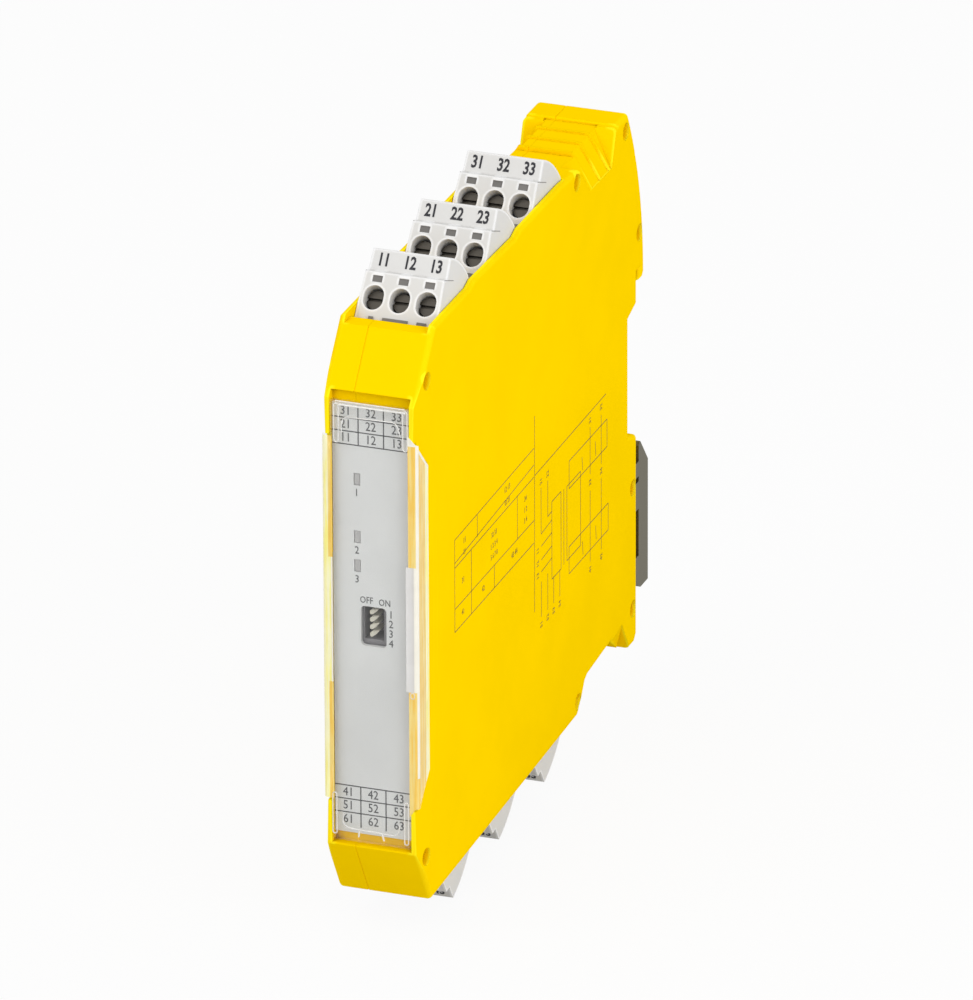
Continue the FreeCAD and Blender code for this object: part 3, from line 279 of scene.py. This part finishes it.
dressing = {
    "yellow_plastic": "yellowHousing", "plug_grey": "plugGrey", "header_grey": "headerGrey",
    "label_grey": "labelSilver", "clear_plastic": "clearCover", "light_guide": "lampLens", "lamp": "lampLens",
    "switch_black": "switchBlack", "lever_cream": "leverCream", "board_green": "boardGreen",
    "relay_case": "relayCase", "foot_steel": "footSteel", "spring_steel": "springSteel",
    "screw_steel": "screwSteel", "pin_brass": "pinBrass",
}
for entry in frame["record"]["subparts"]:
    mesh = nodes[entry["node"]].data
    mesh.materials.clear()
    mesh.materials.append(finishMade[dressing[entry["material_slot"]]])
print("nodes dressed")


def addBar(bm, low, high):
    low, high = Vector(low) * mm, Vector(high) * mm
    place = Matrix.Translation((low + high) / 2) @ Matrix.Diagonal((*(high - low), 1))
    bmesh.ops.create_cube(bm, size=1, matrix=place)


def keepPiece(bm, name, finish, body, bevel=0):
    if bevel:
        bmesh.ops.bevel(bm, geom=bm.edges[:], offset=bevel * mm, affect="EDGES", segments=2, profile=0.5,
                        material=-1)
    mesh = bpy.data.meshes.new(name)
    bm.to_mesh(mesh)
    bm.free()
    mesh.materials.append(finishMade[finish])
    piece = bpy.data.objects.new(name, mesh)
    bpy.context.collection.objects.link(piece)
    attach(piece, body)
    return piece


# adds a curve's mesh and drops the curve
def pourCurve(bm, curve, place):
    carrier = bpy.data.objects.new(curve.name, curve)
    mesh = bpy.data.meshes.new_from_object(carrier)
    mesh.transform(place)
    bm.from_mesh(mesh)
    bpy.data.objects.remove(carrier)
    bpy.data.curves.remove(curve)
    bpy.data.meshes.remove(mesh)


figurePrint = dict(thick=0.02, smooth=2)
wallRight, wallUp = (1, 0, 0), (0, 0, 1)  # on a face that looks to the front


# figures lie flat on a face given by its middle, its right and its up direction
def addFigures(bm, words, size, middle, right, up, narrow=1.0, weight=0.0, align="CENTER"):
    curve = bpy.data.curves.new("figures", "FONT")
    curve.body = words
    curve.size = size * mm
    curve.align_x = align
    curve.align_y = "CENTER"
    curve.resolution_u = figurePrint["smooth"]
    curve.extrude = figurePrint["thick"] * mm
    curve.offset = weight * mm
    right, up = Vector(right).normalized(), Vector(up).normalized()
    normal = right.cross(up)
    turn = Matrix((right, up, normal)).transposed().to_4x4() @ Matrix.Diagonal((narrow, 1, 1, 1))
    pourCurve(bm, curve, Matrix.Translation(Vector(middle) * mm + normal * figurePrint["thick"] * mm) @ turn)


# round wire through a row of points
def addWire(bm, points, radius, closed=False):
    curve = bpy.data.curves.new("wire", "CURVE")
    curve.dimensions = "3D"
    curve.bevel_depth = radius * mm
    curve.bevel_resolution = 2
    curve.use_fill_caps = True
    line = curve.splines.new("POLY")
    line.points.add(len(points) - 1)
    for spot, point in zip(line.points, points):
        spot.co = (*(Vector(point) * mm), 1)
    line.use_cyclic_u = closed
    pourCurve(bm, curve, Matrix.Identity(4))


# thin plate: corners in one plane, pushed along a direction
def addPlate(bm, corners, push):
    face = bm.faces.new([bm.verts.new(Vector(corner) * mm) for corner in corners])
    grown = bmesh.ops.extrude_face_region(bm, geom=[face])["geom"]
    moved = [vert for vert in grown if isinstance(vert, bmesh.types.BMVert)]
    bmesh.ops.translate(bm, vec=Vector(push) * mm, verts=moved)
    bmesh.ops.recalc_face_normals(bm, faces=bm.faces[:])


# band of faces between two closed rings of points
def addBand(bm, first, second):
    for i in range(len(first)):
        bm.faces.new((first[i - 1], first[i], second[i], second[i - 1]))


# quarter turns round the corners of a rectangle, as points
def roundedLoop(left, low, right, high, radius, steps=5):
    points = []
    for x, z, start in ((right - radius, high - radius, 0), (left + radius, high - radius, 90),
                        (left + radius, low + radius, 180), (right - radius, low + radius, 270)):
        for step in range(steps + 1):
            turn = math.radians(start + 90 * step / steps)
            points.append((x + radius * math.cos(turn), z + radius * math.sin(turn)))
    return points


def inMm(box):
    return [corner / mm for corner in box]


# the plugs with their outer end and their numbers, 11 to 33 above and 41 to 63 below
plugs = []
for row, sign, tens in (("upper", 1, (10, 20, 30)), ("lower", -1, (40, 50, 60))):
    for number, first in enumerate(tens, 1):
        tag = "%s_%d" % (row, number)
        low, high = inMm(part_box("plug_" + tag))
        plugs.append(dict(tag=tag, sign=sign, low=low, high=high, end=high.z if sign > 0 else low.z,
                          numbers=[str(first + pole) for pole in (1, 2, 3)]))

# numbers on the plug bands; the band ends at the plug's outer end
plugMarks = dict(bandY=(-10.0, -7.8), bandTall=3.0, pole=4.8, size=3.2, narrow=0.72, weight=0.085)
bandFront, bandBack = plugMarks["bandY"]
for plug in plugs:
    middleY = plug["high"].y + (bandFront + bandBack) / 2
    middleZ = plug["end"] - plug["sign"] * plugMarks["bandTall"] / 2
    up = (0, (bandBack - bandFront) * plug["sign"], plugMarks["bandTall"])
    bm = bmesh.new()
    for pole, words in enumerate(plug["numbers"], -1):
        addFigures(bm, words, plugMarks["size"], (pole * plugMarks["pole"], middleY, middleZ), wallRight, up,
                   plugMarks["narrow"], plugMarks["weight"])
    keepPiece(bm, "plugNumbers_" + plug["tag"], "printInk", "plug_" + plug["tag"])
print("plug numbers set")

# painted shade on the plugs: dark sheets over the gaps at the toe and along the slit in each side of the
# upper ones, and in the test openings, where the sheet stands for the contact inside and its shade;
# runs and heights start at the foot of the screw face
plugSlotShade = dict(run=5.0, rise=6.5, sink=1.5, toe=1.4, tall=7.7, pole=4.8, test=(3.4, 4.75), testHalf=0.95,
                 testDeep=0.4, gaps=((-4.9, -4.0), (-2.35, 2.35), (3.95, 5.7)), gap=(-1.7, -1.2), skin=0.04,
                 slit=((5.4, 5.0), (9.5, 3.4)), slitTall=0.13, draft=0.4, draftTall=8.0)


def screwFoot(plug):
    return Vector((0, plug["low"].y + plugSlotShade["toe"], plug["end"] - plug["sign"] * plugSlotShade["tall"]))


def screwNormal(plug):
    return Vector((0, -plugSlotShade["rise"], plug["sign"] * plugSlotShade["run"])).normalized()


def onScrewFace(plug, x, height, deep):
    run = (height + plugSlotShade["sink"]) * plugSlotShade["run"] / plugSlotShade["rise"]
    return screwFoot(plug) + Vector((x, run, plug["sign"] * height)) - screwNormal(plug) * deep


shadeSheets = []
for pole in (-1, 0, 1):
    middle = pole * plugSlotShade["pole"]
    span = (middle - plugSlotShade["testHalf"], middle + plugSlotShade["testHalf"])
    shadeSheets.append((span, plugSlotShade["test"], plugSlotShade["testDeep"]))
shadeSheets += [(span, plugSlotShade["gap"], -plugSlotShade["skin"]) for span in plugSlotShade["gaps"]]
for plug in plugs:
    bm = bmesh.new()
    for (left, right), (base, top), deep in shadeSheets:
        corners = [onScrewFace(plug, x, height, deep)
                   for x, height in ((left, base), (right, base), (right, top), (left, top))]
        addPlate(bm, corners, -screwNormal(plug) * plugSlotShade["skin"])
    for side in (-1, 1) if plug["sign"] > 0 else ():
        corners = []
        for (run, height), way in zip(plugSlotShade["slit"] + plugSlotShade["slit"][::-1], (-1, -1, 1, 1)):
            height += way * plugSlotShade["slitTall"] / 2
            wide = plug["high"].x - plugSlotShade["draft"] * height / plugSlotShade["draftTall"]
            corners.append(screwFoot(plug) + Vector((side * (wide + plugSlotShade["skin"]), run, height)))
        addPlate(bm, corners, (-side * plugSlotShade["skin"] * 2, 0, 0))
    keepPiece(bm, "plugSlotShade_" + plug["tag"], "slotShade", "plug_" + plug["tag"])
print("plug slots shaded")

# ruled tables and figures printed on the label; a word is given with its X, Z
labelPrint = dict(lift=0.03, rule=0.2, columns=(-2.45, 2.2), cells=(-4.75, -0.15, 4.6), size=2.35,
                  narrow=0.85, lampSize=2.0, lampDrop=1.5, words=(("OFF", -1.14, -0.6), ("ON", 2.2, -0.7)),
                  wordSize=1.75, wordNarrow=0.8, leverX=3.35, leverZ=-2.75, leverPitch=1.82, leverNarrow=0.9,
                  tables=(dict(rows=(35.7, 33.2, 30.7, 28.25), rules=(33.2, 30.7, 28.25), plugs=plugs[2::-1]),
                          dict(rows=(-36.15, -38.7, -41.25, -43.9), rules=(-38.7, -41.25, -36.15),
                               plugs=plugs[3:])))
plateLow, plateHigh = inMm(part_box("label_plate"))
faceY = plateLow.y
inkY = faceY - labelPrint["lift"]
halfRule = labelPrint["rule"] / 2
bm = bmesh.new()
for table in labelPrint["tables"]:
    for z in table["rules"]:
        addBar(bm, (plateLow.x, inkY, z - halfRule), (plateHigh.x, faceY, z + halfRule))
    for x in labelPrint["columns"]:
        addBar(bm, (x - halfRule, inkY, table["rows"][-1]), (x + halfRule, faceY, table["rows"][0]))
for table in labelPrint["tables"]:
    for above, below, plug in zip(table["rows"], table["rows"][1:], table["plugs"]):
        for x, words in zip(labelPrint["cells"], plug["numbers"]):
            addFigures(bm, words, labelPrint["size"], (x, faceY, (above + below) / 2), wallRight, wallUp,
                       labelPrint["narrow"])
for number in (1, 2, 3):
    low = inMm(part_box("light_guide_%d" % number))[0]
    addFigures(bm, str(number), labelPrint["lampSize"], (low.x, faceY, low.z - labelPrint["lampDrop"]),
               wallRight, wallUp, labelPrint["narrow"], 0, "LEFT")
for words, x, z in labelPrint["words"]:
    addFigures(bm, words, labelPrint["wordSize"], (x, faceY, z), wallRight, wallUp, labelPrint["wordNarrow"])
for step in range(4):
    z = labelPrint["leverZ"] - labelPrint["leverPitch"] * step
    addFigures(bm, str(step + 1), labelPrint["lampSize"], (labelPrint["leverX"], faceY, z), wallRight, wallUp,
               labelPrint["leverNarrow"])
keepPiece(bm, "labelFigures", "labelInk", "housing")

# rounded frame in the switch window
switchFrame = dict(window=(-2.25, -9.2, 2.55, -1.64), inset=0.05, corner=0.75, flare=0.12, outerCorner=0.02,
                   proud=0.02, sink=0.7)


def windowLoop(grow, radius):
    left, low, right, high = switchFrame["window"]
    return roundedLoop(left - grow, low - grow, right + grow, high + grow, radius)


inner = windowLoop(-switchFrame["inset"], switchFrame["corner"])
outer = windowLoop(switchFrame["flare"], switchFrame["outerCorner"])
frameFront, frameBack = faceY - switchFrame["proud"], faceY + switchFrame["sink"]
bm = bmesh.new()
rings = [[bm.verts.new(Vector((x, y, z)) * mm) for x, z in loop]
         for loop, y in ((outer, frameFront), (inner, frameFront), (inner, frameBack), (outer, frameBack))]
for first, second in zip(rings, rings[1:] + rings[:1]):
    addBand(bm, first, second)
bmesh.ops.recalc_face_normals(bm, faces=bm.faces[:])
keepPiece(bm, "switchFrame", "labelSilver", "housing")
print("label printed")

# fingers of the setting switches: outline in X and Z from the lever's left edge and middle, sloping back to
# the right; only the tip leans, so that the rest stays clear of the switch body
switchNubs = dict(outline=((0.0, 0.43), (0.0, -0.1), (0.08, -0.32), (0.26, -0.43), (0.5, -0.38),
                           (0.78, -0.12), (1.03, 0.2), (1.15, 0.43)),
                  ahead=0.72, slope=0.6, neck=0.25, lean=(-0.3, -0.2), bevel=0.08)
leanX, leanZ = switchNubs["lean"]
for number in (1, 2, 3, 4):
    name = "switch_lever_%d" % number
    low, high = inMm(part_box(name))
    middle = (low.z + high.z) / 2
    bm = bmesh.new()
    rings = [[], [], []]
    for x, z in switchNubs["outline"]:
        y = low.y - switchNubs["ahead"] + switchNubs["slope"] * x
        spots = ((low.x + x + leanX, y, middle + z + leanZ),
                 (low.x + x, max(low.y, y + switchNubs["neck"]), middle + z),
                 (low.x + x, high.y, middle + z))
        for ring, spot in zip(rings, spots):
            ring.append(bm.verts.new(Vector(spot) * mm))
    bm.faces.new(rings[0])
    bm.faces.new(rings[2])
    addBand(bm, rings[0], rings[1])
    addBand(bm, rings[1], rings[2])
    bmesh.ops.recalc_face_normals(bm, faces=bm.faces[:])
    nub = keepPiece(bm, "switchNub_%d" % number, "leverCream", name, switchNubs["bevel"])
    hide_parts(name)
print("switch fingers made")

# raised beads, bars and clips of the clear cover, as X, Z; a top line also gives its radius
coverLow, coverHigh = inMm(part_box("front_cover"))
coverY = coverLow.y
coverBeads = dict(proud=0.02, bead=0.1, barRadius=0.11, clip=0.18,
                  topLines=((-6.1, 6.6, 36.7, 0.12), (-5.5, 6.7, 36.05, 0.2)),
                  bars=((-6.45, 29.0, -5.6, 36.2), (6.2, 28.9, 7.0, 36.35), (-7.15, -45.0, -6.4, -37.2),
                        (6.1, -45.35, 6.8, -37.3), (7.35, -17.4, 8.05, -16.3)),
                  arch=((-5.05, 30.9), (-5.0, 32.6), (-4.75, 33.4), (-4.2, 33.85), (4.2, 34.05), (4.8, 33.9),
                        (5.3, 33.2), (5.65, 31.7)),
                  bowl=((-5.1, -40.8), (-5.3, -42.4), (-5.0, -43.2), (-4.1, -43.65), (4.2, -43.9),
                        (4.8, -43.5), (5.1, -42.6), (5.25, -41.5)),
                  clips=(((-2.3, -43.9), (-2.4, -45.1)), ((1.9, -43.9), (2.3, -45.15))))
bm = bmesh.new()


def addBead(path, radius, closed=False):
    addWire(bm, [(x, coverY - coverBeads["proud"], z) for x, z in path], radius, closed)


for left, right, z, radius in coverBeads["topLines"]:
    addBead(((left, z), (right, z)), radius)
for left, low, right, high in coverBeads["bars"]:
    addBead(roundedLoop(left, low, right, high, (right - left) / 2), coverBeads["barRadius"], True)
for path in (coverBeads["arch"], coverBeads["bowl"]):
    addBead(path, coverBeads["bead"])
for path in coverBeads["clips"]:
    addBead(path, coverBeads["clip"])
# the pale paint of the beads is a painted glint
keepPiece(bm, "coverBeads", "paleBeadGlint", "front_cover")

# painted light caught in the cover's edges: painted highlights on the rounded front corners and the folded
# sides with slanted ends, painted amber light where the yellow shows through, and a frosted block behind; a
# turn of a corner starts at 0 degrees in front, and its heights are named values
coverGlow = dict(corner=0.7, steps=5, skin=0.05, fall=1.02, brow=0.7, rim=-110.3, back=-108.6,
                 tipTop=30.75, top=30.0, blockTop=7.3, blockBase=-16.2, whiteBase=-32.5, base=-38.3,
                 inner=7.05, frost=6.6, line=(-7.15, -6.85), amber=(-7.6, -6.85),
                 tip=((7.05, 30.0), (8.1, 30.0), (8.1, 30.75), (7.05, 31.8)),
                 tail=((7.05, -39.9), (8.1, -38.4), (8.1, -38.3), (7.05, -38.3)),
                 corners=(("whiteGlint", 1, 0, 30, "top", "tipTop"),
                          ("amberGlow", 1, 0, 30, "blockTop", "top"),
                          ("whiteGlint", 1, 30, 86, "blockTop", "tipTop"),
                          ("whiteGlint", 1, 0, 86, "blockBase", "blockTop"),
                          ("whiteGlint", 1, 40, 86, "whiteBase", "blockBase"),
                          ("amberGlow", 1, 0, 40, "whiteBase", "blockBase"),
                          ("amberGlow", 1, 0, 86, "base", "whiteBase"),
                          ("paleGlint", -1, 0, 45, "base", "top")))
half = coverHigh.x
edge = half - coverGlow["corner"]
fold = coverY + coverGlow["corner"]
glow = {name: bmesh.new() for name in ("whiteGlint", "paleGlint", "amberGlow", "frostedBlock")}


def addFront(finish, outline):
    addPlate(glow[finish], [(x, coverY, z) for x, z in outline], (0, -coverGlow["skin"], 0))


def addFrontStrip(finish, left, right, low, high):
    addFront(finish, ((left, low), (right, low), (right, high), (left, high)))


# height of the cover's slanted lower or upper end at a depth
def chinAt(y):
    return coverGlow["base"] + (y - coverY) * coverGlow["fall"]


def browAt(y):
    return coverGlow["top"] - (y - coverY) * coverGlow["fall"]


def addSide(finish, side, outline):
    addPlate(glow[finish], [(side * half, y, z) for y, z in outline], (side * coverGlow["skin"], 0, 0))


# a strip of the folded side between two depths, below the brow
def addSideStrip(finish, side, ahead, behind):
    brow = coverGlow["brow"]
    addSide(finish, side, ((ahead, chinAt(ahead)), (behind, chinAt(behind)), (behind, browAt(behind) - brow),
                           (ahead, browAt(ahead) - brow)))


# a rounded corner between two turns and two heights; drop slants its top
def addCorner(finish, side, first, last, base, top, drop):
    bm = glow[finish]
    steps = coverGlow["steps"]
    turns = [math.radians(first + (last - first) * step / steps) for step in range(steps + 1)]
    rings = []
    for radius in (coverGlow["corner"], coverGlow["corner"] + coverGlow["skin"]):
        for z, fall in ((base, 0), (top, drop)):
            rings.append([bm.verts.new(Vector((side * (edge + radius * math.sin(turn)),
                                               fold - radius * math.cos(turn),
                                               z - fall * math.sin(turn))) * mm) for turn in turns])
    innerLow, innerHigh, outerLow, outerHigh = rings
    for a, b in ((innerLow, innerHigh), (innerHigh, outerHigh), (outerHigh, outerLow), (outerLow, innerLow)):
        for i in range(steps):
            bm.faces.new((a[i], a[i + 1], b[i + 1], b[i]))
    for i in (0, steps):
        bm.faces.new((innerLow[i], innerHigh[i], outerHigh[i], outerLow[i]))
    bmesh.ops.recalc_face_normals(bm, faces=bm.faces[:])


for finish, side, first, last, base, top in coverGlow["corners"]:
    drop = coverGlow["corner"] if top == "tipTop" else 0
    addCorner(finish, side, first, last, coverGlow[base], coverGlow[top], drop)
addFront("whiteGlint", coverGlow["tip"])
addFront("amberGlow", coverGlow["tail"])
rim, back, brow = coverGlow["rim"], coverGlow["back"], coverGlow["brow"]
for side in (-1, 1):
    addSideStrip("amberGlow", side, fold, rim)
    addSideStrip("paleGlint", side, rim, back)
    addSide("whiteGlint", side, ((fold, browAt(fold)), (fold, browAt(fold) - brow),
                                (back, browAt(back) - brow), (back, browAt(back))))
for low, high in ((coverGlow["base"], coverGlow["blockBase"]), (coverGlow["blockTop"], coverGlow["top"])):
    addFrontStrip("amberGlow", coverGlow["inner"], edge, low, high)
    addFrontStrip("paleGlint", -edge, coverGlow["amber"][0], low, high)
    addFrontStrip("amberGlow", *coverGlow["amber"], low, high)
low, high = coverGlow["blockBase"], coverGlow["blockTop"]
addFrontStrip("frostedBlock", coverGlow["frost"], edge, low, high)
addFrontStrip("paleGlint", -edge, coverGlow["line"][0], low, high)
addFrontStrip("whiteGlint", *coverGlow["line"], low, high)
for name, bm in glow.items():
    keepPiece(bm, "cover_" + name, name, "front_cover")
print("cover detailed")

# plain ruled table and wiring lines printed on the right side, as (Y, Z) ends
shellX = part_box("housing_right")[1].x / mm
sidePrint = dict(
    lift=0.03, rule=0.17,
    lines=(((-95.4, 5.0), (-95.5, -12.4)), ((-95.4, 5.0), (-54.8, 5.9)), ((-95.4, 0.6), (-54.8, 2.7)),
           ((-95.4, -0.3), (-54.8, 0.4)), ((-95.5, -8.1), (-54.8, -7.9)), ((-95.5, -12.4), (-54.9, -12.2)),
           ((-83.9, 5.2), (-83.9, 0.9)), ((-87.0, -0.2), (-87.0, -12.4)), ((-75.3, -8.0), (-75.3, -12.3)),
           ((-63.4, 0.3), (-63.4, -7.9)), ((-54.4, 11.9), (-54.6, -25.6)), ((-54.4, 0.5), (-16.9, 1.1)),
           ((-51.1, -3.2), (-51.1, -12.0)), ((-47.6, -3.2), (-47.6, -10.1)), ((-51.1, -12.0), (-45.5, -11.6)),
           ((-47.6, -10.1), (-45.5, -9.9)), ((-25.3, -2.0), (-25.3, -11.0)), ((-19.4, -2.0), (-19.4, -11.4)),
           ((-25.3, -14.2), (-25.3, -28.0)), ((-19.4, -14.2), (-19.4, -28.0)),
           ((-51.0, -21.2), (-51.0, -28.0)), ((-47.7, -21.0), (-47.7, -28.0)),
           ((-44.6, -22.8), (-44.6, -28.0)), ((-41.4, -22.8), (-41.4, -28.0)),
           ((-51.0, -14.4), (-45.5, -14.0)), ((-51.0, -17.0), (-45.5, -16.6)),
           ((-51.0, -19.3), (-45.5, -18.9)), ((-39.2, -8.3), (-39.2, -22.8)),
           ((-29.6, -6.0), (-29.3, -8.6)), ((-22.6, -5.8), (-22.3, -8.6)),
           ((-29.4, -22.4), (-29.1, -25.0)), ((-22.4, -22.2), (-22.1, -24.9))),
    boxes=((-45.5, -23.0, -40.7, -8.1), (-37.6, -22.7, -30.4, -8.4), (-36.4, -9.3, -16.3, -4.0),
           (-36.5, -25.7, -15.7, -20.5)))
strokes = list(sidePrint["lines"])
for back, low, ahead, high in sidePrint["boxes"]:
    loop = ((back, low), (ahead, low), (ahead, high), (back, high))
    strokes += zip(loop, loop[1:] + loop[:1])
bm = bmesh.new()
for start, end in strokes:
    start, end = Vector(start), Vector(end)
    run = end - start
    wide = Vector((-run.y, run.x)).normalized() * sidePrint["rule"] / 2
    addPlate(bm, [(shellX, *spot) for spot in (start + wide, start - wide, end - wide, end + wide)],
             (sidePrint["lift"], 0, 0))
keepPiece(bm, "sideLines", "sideInk", "housing")

# plain figures in the side table, as words, Y, Z, size, and at the wire ends, turned a quarter
sideFigures = dict(
    narrow=0.9, endSize=1.5,
    table=(("11", -90.4, 3.0, 1.5), ("12 13", -68.6, 3.9, 1.5), ("21", -90.4, 0.9, 1.3),
           ("22 23", -68.6, 1.4, 1.3), ("31", -91.2, -4.2, 1.5), ("32 33", -75.4, -1.9, 1.4),
           ("1 2 3 4", -75.4, -4.0, 1.4), ("5 6 7 8", -75.4, -6.0, 1.4), ("34", -59.2, -1.9, 1.4),
           ("1 2", -59.2, -4.0, 1.4), ("3 4", -59.2, -6.0, 1.4), ("41", -91.3, -10.2, 1.5),
           ("42", -81.0, -10.1, 1.5), ("43 44", -65.0, -10.0, 1.5)),
    ends=(("21", -51.1, -1.9), ("22", -47.6, -1.9), ("31", -25.3, -0.6), ("32", -19.4, -0.4),
          ("33", -25.3, -12.6), ("34", -19.4, -12.8), ("41", -25.3, -29.4), ("42", -19.4, -29.4),
          ("51", -51.0, -29.4), ("52", -47.7, -29.4), ("53", -44.6, -29.4), ("54", -41.4, -29.4),
          ("11", -52.8, -14.6), ("12", -52.8, -17.1), ("13", -52.8, -19.4)))
bm = bmesh.new()
for words, y, z, size in sideFigures["table"]:
    addFigures(bm, words, size, (shellX, y, z), (0, 1, 0), (0, 0, 1), sideFigures["narrow"])
for words, y, z in sideFigures["ends"]:
    addFigures(bm, words, sideFigures["endSize"], (shellX, y, z), (0, 0, 1), (0, -1, 0),
               sideFigures["narrow"])
keepPiece(bm, "sideFigures", "sideInk", "housing")
print("side printed")

# camera fitted to the photograph, long lens; focus and pixels count along the photo's longer side
view = dict(focus=15079.73, pixels=1000, sensor=36, azimuth=19.9762, elevation=23.4186, roll=0.2213,
            distance=2628.46, slide=(-20.4372, -89.4454), origin=(0.0, 114.91, 78.235), far=50)
azimuth, elevation, roll = (math.radians(view[key]) for key in ("azimuth", "elevation", "roll"))
level = math.cos(elevation)
back = Vector((math.sin(azimuth) * level, -math.cos(azimuth) * level, math.sin(elevation)))
right = Vector((math.cos(azimuth), math.sin(azimuth), 0))
up = back.cross(right)
spot = back * view["distance"] - right * view["slide"][0] - up * view["slide"][1] - Vector(view["origin"])
rightTurned = right * math.cos(roll) - up * math.sin(roll)
upTurned = right * math.sin(roll) + up * math.cos(roll)
lens = bpy.data.cameras.new("photoCamera")
lens.sensor_width = view["sensor"]
lens.lens = view["focus"] * view["sensor"] / view["pixels"]
lens.clip_end = view["far"]
camera = bpy.data.objects.new("photoCamera", lens)
turn = Matrix((rightTurned, upTurned, back)).transposed().to_4x4()
camera.matrix_world = Matrix.Translation(spot * mm) @ turn
bpy.context.collection.objects.link(camera)
bpy.context.scene.camera = camera

# white studio: pale floor, soft key from the upper left, fill from the right, even world
studio = dict(floorZ=-0.0655, floorSize=30, world=0.78, key=(-0.5, -0.9, 1.1), keyPower=6, keySize=0.9,
              fill=(0.55, -0.34, 0.25), fillPower=1.75, fillSize=0.4, floorPaint=0.66, floorGlow=0.93,
              aim=(0, -0.055, 0))
white = (1, 1, 1, 1)


# one for rays that meet the backdrop straight, in a gloss or through the clear cover; the rest only light
def seenStraight(tree):
    rays = tree.nodes.new("ShaderNodeLightPath").outputs
    shown = addMath(tree, "MAXIMUM", rays["Is Camera Ray"], rays["Is Glossy Ray"])
    return addMath(tree, "MAXIMUM", shown, rays["Is Transmission Ray"])


world = bpy.data.worlds.new("studioWorld")
world.use_nodes = True
bpy.context.scene.world = world
tree = world.node_tree
tree.nodes.clear()
lit = addNode(tree, "Background", {"Color": white, "Strength": studio["world"]})
seen = addNode(tree, "Background", {"Color": white, "Strength": 1})
backdrop = mixShaders(tree, seenStraight(tree), lit.outputs[0], seen.outputs[0])
addNode(tree, "OutputWorld", {"Surface": backdrop})

bm = bmesh.new()
bmesh.ops.create_grid(bm, x_segments=1, y_segments=1, size=studio["floorSize"],
                      matrix=Matrix.Translation((0, 0, studio["floorZ"])))
floorMesh = bpy.data.meshes.new("studioFloor")
bm.to_mesh(floorMesh)
bm.free()
floor = bpy.data.objects.new("studioFloor", floorMesh)
bpy.context.collection.objects.link(floor)
material = bpy.data.materials.new("paleFloor")
material.use_nodes = True
tree = material.node_tree
tree.nodes.clear()
paint = addNode(tree, "BsdfDiffuse", {"Color": (*[studio["floorPaint"]] * 3, 1)})
shine = addNode(tree, "Emission", {"Strength": 1})
share = addMath(tree, "MULTIPLY", seenStraight(tree), studio["floorGlow"])
addNode(tree, "OutputMaterial", {"Surface": mixShaders(tree, share, paint.outputs[0], shine.outputs[0])})
floorMesh.materials.append(material)

for label in ("key", "fill"):
    light = bpy.data.lights.new(label + "Light", "AREA")
    light.energy = studio[label + "Power"]
    light.size = studio[label + "Size"]
    lamp = bpy.data.objects.new(label + "Light", light)
    lamp.location = studio[label]
    aim = Vector(studio["aim"]) - lamp.location
    lamp.rotation_euler = aim.to_track_quat("-Z", "Y").to_euler()
    bpy.context.collection.objects.link(lamp)
bpy.context.scene.view_settings.view_transform = "Standard"
print("studio set")
